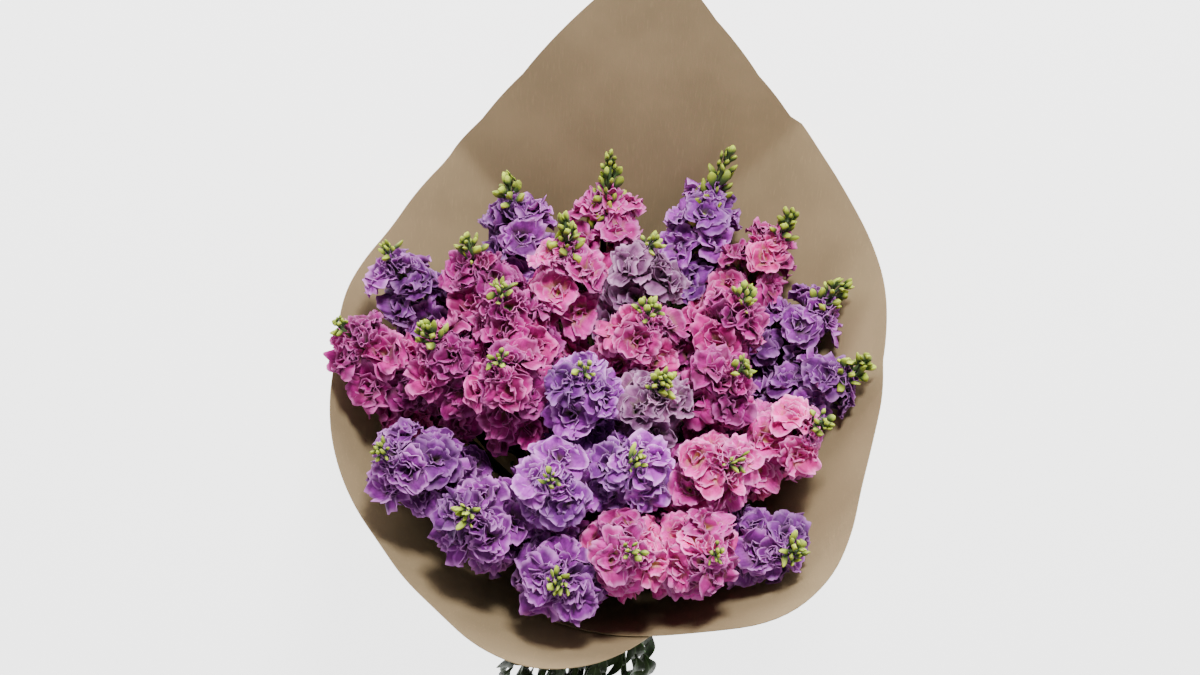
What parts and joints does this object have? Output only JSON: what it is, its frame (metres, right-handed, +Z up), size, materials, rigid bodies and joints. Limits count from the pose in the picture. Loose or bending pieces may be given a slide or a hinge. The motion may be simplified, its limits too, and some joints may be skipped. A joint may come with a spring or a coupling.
{
  "type": "wrapped stock bouquet",
  "caption": "Bunch of cut double stock in violet, lilac and pink, wrapped in a flared cone of taupe paper tied at the neck, lying on its back.",
  "frame": {"origin": "middle of the footprint, on the surface that the bunch lies on", "axes": "+Z up; the bunch lies along Y with its flower head towards -Y and its cut ends towards +Y"},
  "size_m": [0.3334, 0.6292, 0.3266],
  "materials": {
    "greens": "satin, slightly downy green stems, leaves and buds",
    "petals_violet": "soft matte petals, paler at the ruffled edge",
    "petals_lilac": "soft matte petals, paler at the ruffled edge",
    "petals_grey_lilac": "soft matte petals, greyed lilac",
    "petals_magenta": "soft matte petals",
    "petals_rose": "soft matte petals",
    "petals_pink": "soft matte petals with cream hearts",
    "wrap_paper": "matte taupe wrapping paper",
    "twine": "natural jute twine"
  },
  "bodies": {
    "root": {"stem_01": "greens", "florets_01": "petals_violet", "stem_02": "greens", "florets_02": "petals_pink", "stem_03": "greens", "florets_03": "petals_lilac", "stem_04": "greens", "florets_04": "petals_rose", "stem_05": "greens", "florets_05": "petals_violet", "stem_06": "greens", "florets_06": "petals_violet", "stem_07": "greens", "florets_07": "petals_magenta", "stem_08": "greens", "florets_08": "petals_pink", "stem_09": "greens", "florets_09": "petals_grey_lilac", "stem_10": "greens", "florets_10": "petals_violet", "stem_11": "greens", "florets_11": "petals_magenta", "stem_12": "greens", "florets_12": "petals_magenta", "stem_13": "greens", "florets_13": "petals_magenta", "stem_14": "greens", "florets_14": "petals_magenta", "stem_15": "greens", "florets_15": "petals_rose", "stem_16": "greens", "florets_16": "petals_grey_lilac", "stem_17": "greens", "florets_17": "petals_magenta", "stem_18": "greens", "florets_18": "petals_magenta", "stem_19": "greens", "florets_19": "petals_violet", "stem_20": "greens", "florets_20": "petals_violet", "stem_21": "greens", "florets_21": "petals_violet", "stem_22": "greens", "florets_22": "petals_lilac", "stem_23": "greens", "florets_23": "petals_lilac", "stem_24": "greens", "florets_24": "petals_pink", "stem_25": "greens", "florets_25": "petals_pink", "stem_26": "greens", "florets_26": "petals_pink", "stem_27": "greens", "florets_27": "petals_pink", "stem_28": "greens", "florets_28": "petals_violet", "stem_29": "greens", "florets_29": "petals_lilac", "wrap": "wrap_paper", "neck_tie": "twine"}
  },
  "joints": []
}
